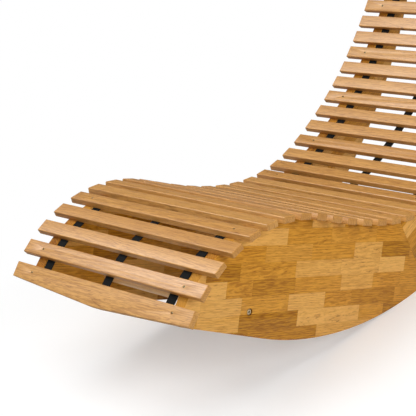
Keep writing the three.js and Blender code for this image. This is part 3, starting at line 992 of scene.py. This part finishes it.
# the painted shade in a bolt's socket reaches this share of the flat out, and starts this far below the
# face
SHADED_SOCKET = 1.25
SHADE_LEVEL = 1 * MM


def hexagon(angle):
    """One over the cosine of the angle from the middle of the nearest flat."""
    from_flat = (angle + math.pi / 6) % (math.pi / 3) - math.pi / 6
    return 1 / np.cos(from_flat)


def bolt_profile(length):
    """Radius and height of each ring, from the shank's end up round the head and into the socket."""
    shank = [
        (0, -length), (SHANK_RADIUS - SHANK_CHAMFER, -length), (SHANK_RADIUS, SHANK_CHAMFER - length),
        (SHANK_RADIUS, -HEAD_HEIGHT), (HEAD_RADIUS, -HEAD_HEIGHT),
    ]
    return shank + [(HEAD_RADIUS - inwards, -down) for inwards, down in RIM_CURVE] + SOCKET


for side, sign in SIDES:
    for rail in BOLTS:
        node = f"{side}_{rail}_rail_bolt"
        low, high = (np.array(corner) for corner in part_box(node))
        face = middle(node) * SIDE_VIEW + ACROSS * (high if sign > 0 else low)
        rings = spun(bolt_profile(high[0] - low[0]), BOLT_SIDES, hexagon)
        stand = (face, base_way, base_up * sign, ACROSS * sign)
        socket_shade = (SHADED_SOCKET * SOCKET_FLAT, SHADE_LEVEL)
        fasteners(f"{side}_{rail}_bolt", rings, [stand], socket_shade, yellow_zinc, node)
        print(node, "is", round((high[0] - low[0]) / MM, 1), "mm long")

# %% [markdown]
# ## Webbing straps
#
# Each strap runs straight from slat to slat along their undersides. Cloth simulation would only find
# that same line, as the strap is held at every slat. So its middle line goes through the front and the
# rear of every underside, and its section, a flat oval, is carried along it. Each vertex also gets its
# distance along the strap, which the weave reads.

# %% Webbing straps
STRAPS = ("left_strap", "middle_strap", "right_strap")
STRAP_WIDTH = 30 * MM
STRAP_THICKNESS = 1.6 * MM
STRAP_GAP = 0.3 * MM
SLAT_WIDTH = 40 * MM
STRAP_END = 6 * MM
STRAP_STEP = 5 * MM
ROUND_POINTS = 7
strap_depth = SLAT_THICKNESS / 2 + STRAP_GAP + STRAP_THICKNESS / 2


def under(station, back, depth):
    """A point so far in front of a slat's rear edge and so far below its middle."""
    return station["centre"] + station["along"] * (station["rear"] - back) - station["normal"] * depth


def along_path(points, step):
    """Points at even steps along a line of straight stretches, with their distances."""
    lengths = np.linalg.norm(np.diff(points, axis=0), axis=1)
    distance = np.concatenate([[0], np.cumsum(lengths)])
    even = np.linspace(0, distance[-1], round(distance[-1] / step) + 1)
    return np.stack([np.interp(even, distance, points[:, axis]) for axis in range(3)], 1), even


def headings(points):
    """The direction of a line at each of its points, with a length of one."""
    ahead = np.gradient(points, axis=0)
    return ahead / np.linalg.norm(ahead, axis=1, keepdims=True)


def flat_oval(width, thickness):
    """Half circles on both short sides: cosine and sine of half a turn, moved out from the middle."""
    turn = np.linspace(-math.pi / 2, math.pi / 2, ROUND_POINTS)
    edge_x = width / 2 - thickness / 2 + thickness / 2 * np.cos(turn)
    edge_y = thickness / 2 * np.sin(turn)
    return np.concatenate([np.stack([edge_x, edge_y], 1), np.stack([-edge_x, -edge_y], 1)])


line = np.array([under(station, back, strap_depth) for station in deck for back in (SLAT_WIDTH, 0)])
line[0] = under(deck[0], SLAT_WIDTH - STRAP_END, strap_depth)
line[-1] = under(deck[-1], STRAP_END, strap_depth)
path, travelled = along_path(line, STRAP_STEP)
outwards = np.cross(ACROSS, headings(path))
section = flat_oval(STRAP_WIDTH, STRAP_THICKNESS)
beside = section[None, :, :1] * ACROSS + section[None, :, 1:] * outwards[:, None]
strap_rings = capped(path[:, None] + beside)
for name in STRAPS:
    centre = middle(name)[0]
    mesh = skins(f"woven_{name}", (strap_rings + centre * ACROSS)[None])
    places = vertex_places(mesh)
    nearest = np.argmin(np.linalg.norm(places[:, None, 1:] - path[None, :, 1:], axis=2), axis=1)
    on_strap = np.stack([travelled[nearest], places[:, 0] - centre, np.zeros(len(places))], 1)
    give_attribute(mesh, "strap", "FLOAT_VECTOR", "vector", on_strap)
    show_piece(mesh, webbing, "webbing", name)
print("each strap is", round(travelled[-1], 3), "metres long")

# %% [markdown]
# ## Staples
#
# Two staples hold each strap to every slat: a crown of flat wire across the strap, with its legs up in
# the slat. There are nearly two hundred, so a round wire with smooth bends would take too many faces.
# The wire's flat section is carried along the staple's line and moved along a direction a quarter turn
# from it, so the wire keeps its thickness round the bends.

# %% Staples
CROWN = 10 * MM
LEG = 7 * MM
WIRE_WIDTH = 1.2 * MM
WIRE_DEPTH = 0.6 * MM
WIRE_BEND = 0.8 * MM
STAPLES_APART = 14 * MM
half_crown = CROWN / 2
staple_line = np.array([
    (-half_crown, LEG), (-half_crown, WIRE_BEND), (-half_crown + WIRE_BEND / 3, WIRE_BEND / 3),
    (-half_crown + WIRE_BEND, 0), (half_crown - WIRE_BEND, 0),
    (half_crown - WIRE_BEND / 3, WIRE_BEND / 3), (half_crown, WIRE_BEND), (half_crown, LEG),
])
ahead = headings(staple_line)
inward = np.stack([-ahead[:, 1], ahead[:, 0]], 1)
wire = np.array([(-1, -1), (1, -1), (1, 1), (-1, 1)]) * (WIRE_WIDTH / 2, WIRE_DEPTH / 2)
flat_line = staple_line[:, None] + wire[None, :, 1:] * inward[:, None]
wire_x = np.broadcast_to(wire[None, :, 0], flat_line.shape[:2])
staple_rings = capped(np.stack([flat_line[..., 0], wire_x, flat_line[..., 1]], -1))
crown_depth = SLAT_THICKNESS / 2 + STRAP_GAP + STRAP_THICKNESS + WIRE_DEPTH / 2
for name in STRAPS:
    stands = []
    for station in deck:
        for shift in (-STAPLES_APART / 2, STAPLES_APART / 2):
            crown = under(station, SLAT_WIDTH / 2, crown_depth) + ACROSS * (middle(name)[0] + shift)
            stands.append((crown, ACROSS, station["along"], station["normal"]))
    staples = skins(f"{name}_staples", standing(staple_rings, stands))
    show_piece(staples, zinc_steel, "steel")
print("staples in each strap:", len(stands))

# %% [markdown]
# ## Floor
#
# The photograph has a white ground that keeps only a soft shadow. Brighter lamps would turn a floor
# white too, but would bleach the wood, so the floor is a white plane that glows a little for the
# camera. Near the lounge it is mostly lit, and so it shows the shadow. Further out it only glows: fully
# white for the camera, and for the lounge about as bright as a real white floor. The camera doesn't see
# it from below, so it never hides the lounge.

# %% Floor
FLOOR_SIZE = 60
FLOOR_WHITE = (0.8, 0.8, 0.8, 1.0)
FLOOR_GLOW = 0.27
FLOOR_MIRRORED = 0.25
FLOOR_BOUNCE = 0.5
FLOOR_GLOSS = {"Roughness": 0.9, "Specular IOR Level": 0.0}
SHADOW_PLACE = (0.0, 0.35, 0.0)
SHADOW_SPREAD = (1.3, 1.6, 1.0)
SHADOW_STEP = (0.5, 1.6)
BLACK, WHITE = (0.0, 0.0, 0.0, 1.0), (1.0, 1.0, 1.0, 1.0)


def outside_shadow(tree):
    """0 round the lounge's shadow and 1 far from it, by the distance from an oval's middle."""
    beside = vector_calc(tree, "ADD", object_place(tree), SHADOW_PLACE)
    beside = scaled(tree, beside, SHADOW_SPREAD)
    return smooth_step(tree, length_of(tree, beside), *SHADOW_STEP)


def floor_finish():
    """White near the lounge, glowing further out, and clear where the camera looks from below."""
    material, tree, shader = new_finish("floor_white")
    rays = shader_node(tree, "LightPath", {}).outputs
    far = outside_shadow(tree)
    seen = times(tree, rays["Is Camera Ray"], between(tree, far, FLOOR_GLOW, 1))
    mirrored = times(tree, rays["Is Glossy Ray"], FLOOR_MIRRORED)
    thrown = calc(tree, "MULTIPLY_ADD", rays["Is Diffuse Ray"], FLOOR_BOUNCE, mirrored)
    strength = calc(tree, "MULTIPLY_ADD", far, thrown, seen)
    colour = mixed(tree, far, FLOOR_WHITE, BLACK)
    fill(tree, shader, {"Base Color": colour, "Emission Color": WHITE, "Emission Strength": strength})
    fill(tree, shader, FLOOR_GLOSS)
    underneath = shader_node(tree, "NewGeometry", {}).outputs["Backfacing"]
    below = times(tree, rays["Is Camera Ray"], underneath)
    clear = shader_node(tree, "BsdfTransparent", {}).outputs[0]
    choice = {0: below, 1: shader.outputs[0], 2: clear}
    either = shader_node(tree, "MixShader", choice).outputs[0]
    fill(tree, tree.nodes["Material Output"], {"Surface": either})
    return material


floor_mesh = bpy.data.meshes.new("floor")
half = FLOOR_SIZE / 2
floor_corners = [(-half, -half, 0), (half, -half, 0), (half, half, 0), (-half, half, 0)]
floor_mesh.from_pydata(floor_corners, [], [(0, 1, 2, 3)])
floor_mesh.materials.append(floor_finish())
in_scene("floor", floor_mesh)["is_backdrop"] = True

# %% [markdown]
# ## Room
#
# The white behind the lounge is the world: bright for the camera, fainter in the gloss of wood and
# steel, and almost dark otherwise. A world that lit everything alike would take the shape out of it.

# %% Room
AMBIENT = 0.03
MIRRORED = 0.15
world = bpy.data.worlds.new("white_room")
bpy.context.scene.world = world
world.use_nodes = True
tree = world.node_tree
rays = shader_node(tree, "LightPath", {}).outputs
seen = times(tree, rays["Is Camera Ray"], 1 - AMBIENT)
mirrored = times(tree, rays["Is Glossy Ray"], MIRRORED - AMBIENT)
strength = calc(tree, "ADD", calc(tree, "ADD", seen, mirrored), AMBIENT)
fill(tree, tree.nodes["Background"], {"Color": WHITE, "Strength": strength})
print("the room lights the lounge at", AMBIENT, "of white")

# %% [markdown]
# ## Lamps
#
# Large square lamps give the soft studio light: two high in front, one straight in front, and one low
# on each side. Two more, behind, keep the back from going black in other views. The last one shows only
# in reflections and gives the steeper slats their sheen. The low one on the right and the two behind
# show in none, where they would leave white patches. All angles are from the base boards' staves.

# %% Lamps
LAMP_DISTANCE = 6.5
SET_AT = 4  # the sizes and powers were chosen at this distance, and grow with the real one
LAMPS = {  # turn from the foot end towards the right side and rise, in degrees, then size and power
    "high_left_lamp": (-30, 52, 2.2, 50), "high_right_lamp": (30, 52, 2.2, 30),
    "front_lamp": (0, 30, 2.2, 52), "low_left_lamp": (-30, 14, 2.2, 26),
    "low_right_lamp": (68, 14, 2.2, 86), "back_right_lamp": (140, 14, 2.2, 45),
    "back_left_lamp": (-120, 14, 2.2, 60), "sheen_lamp": (-40, 40, 1.6, 130),
}
NOT_MIRRORED = ("low_right_lamp", "back_right_lamp", "back_left_lamp")
ONLY_MIRRORED = ("sheen_lamp",)


def soft_lamp(name, azimuth, elevation, size, power):
    """A square lamp that faces the middle of the lounge.

    A lamp further away is made larger by the distance and stronger by its square, which keeps the
    softness and the brightness of its light.
    """
    turn, rise = math.radians(azimuth), math.radians(elevation)
    across, back = math.sin(turn) * math.cos(rise), -math.cos(turn) * math.cos(rise)
    aim = Vector((cad_low + cad_high) / 2)
    way = across * ACROSS + back * base_way + math.sin(rise) * base_up
    place = aim + Vector(way * LAMP_DISTANCE)
    lamp = in_scene(name, bpy.data.lights.new(name, "AREA"))
    lamp.data.size = size * LAMP_DISTANCE / SET_AT
    lamp.data.energy = power * (LAMP_DISTANCE / SET_AT) ** 2
    lamp.location = place
    lamp.rotation_euler = (aim - place).to_track_quat("-Z", "Y").to_euler()
    return lamp


for name, setting in LAMPS.items():
    lamp = soft_lamp(name, *setting)
    lamp.visible_glossy = name not in NOT_MIRRORED
    lamp.visible_diffuse = name not in ONLY_MIRRORED
    print(name, "at", [round(side, 2) for side in lamp.location], "metres")

# %% [markdown]
# ## Measure and finish
#
# The Standard view shows each colour as it is written, where Blender's usual one would grey the whites.
# The size of what was made is printed, as that of the imported frame was, so that the two can be
# compared.

# %% Show colours as they are, measure and finish
bpy.context.scene.view_settings.view_transform = "Standard"
low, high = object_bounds()
print("visual size", [round(side, 4) for side in high - low], "metres")
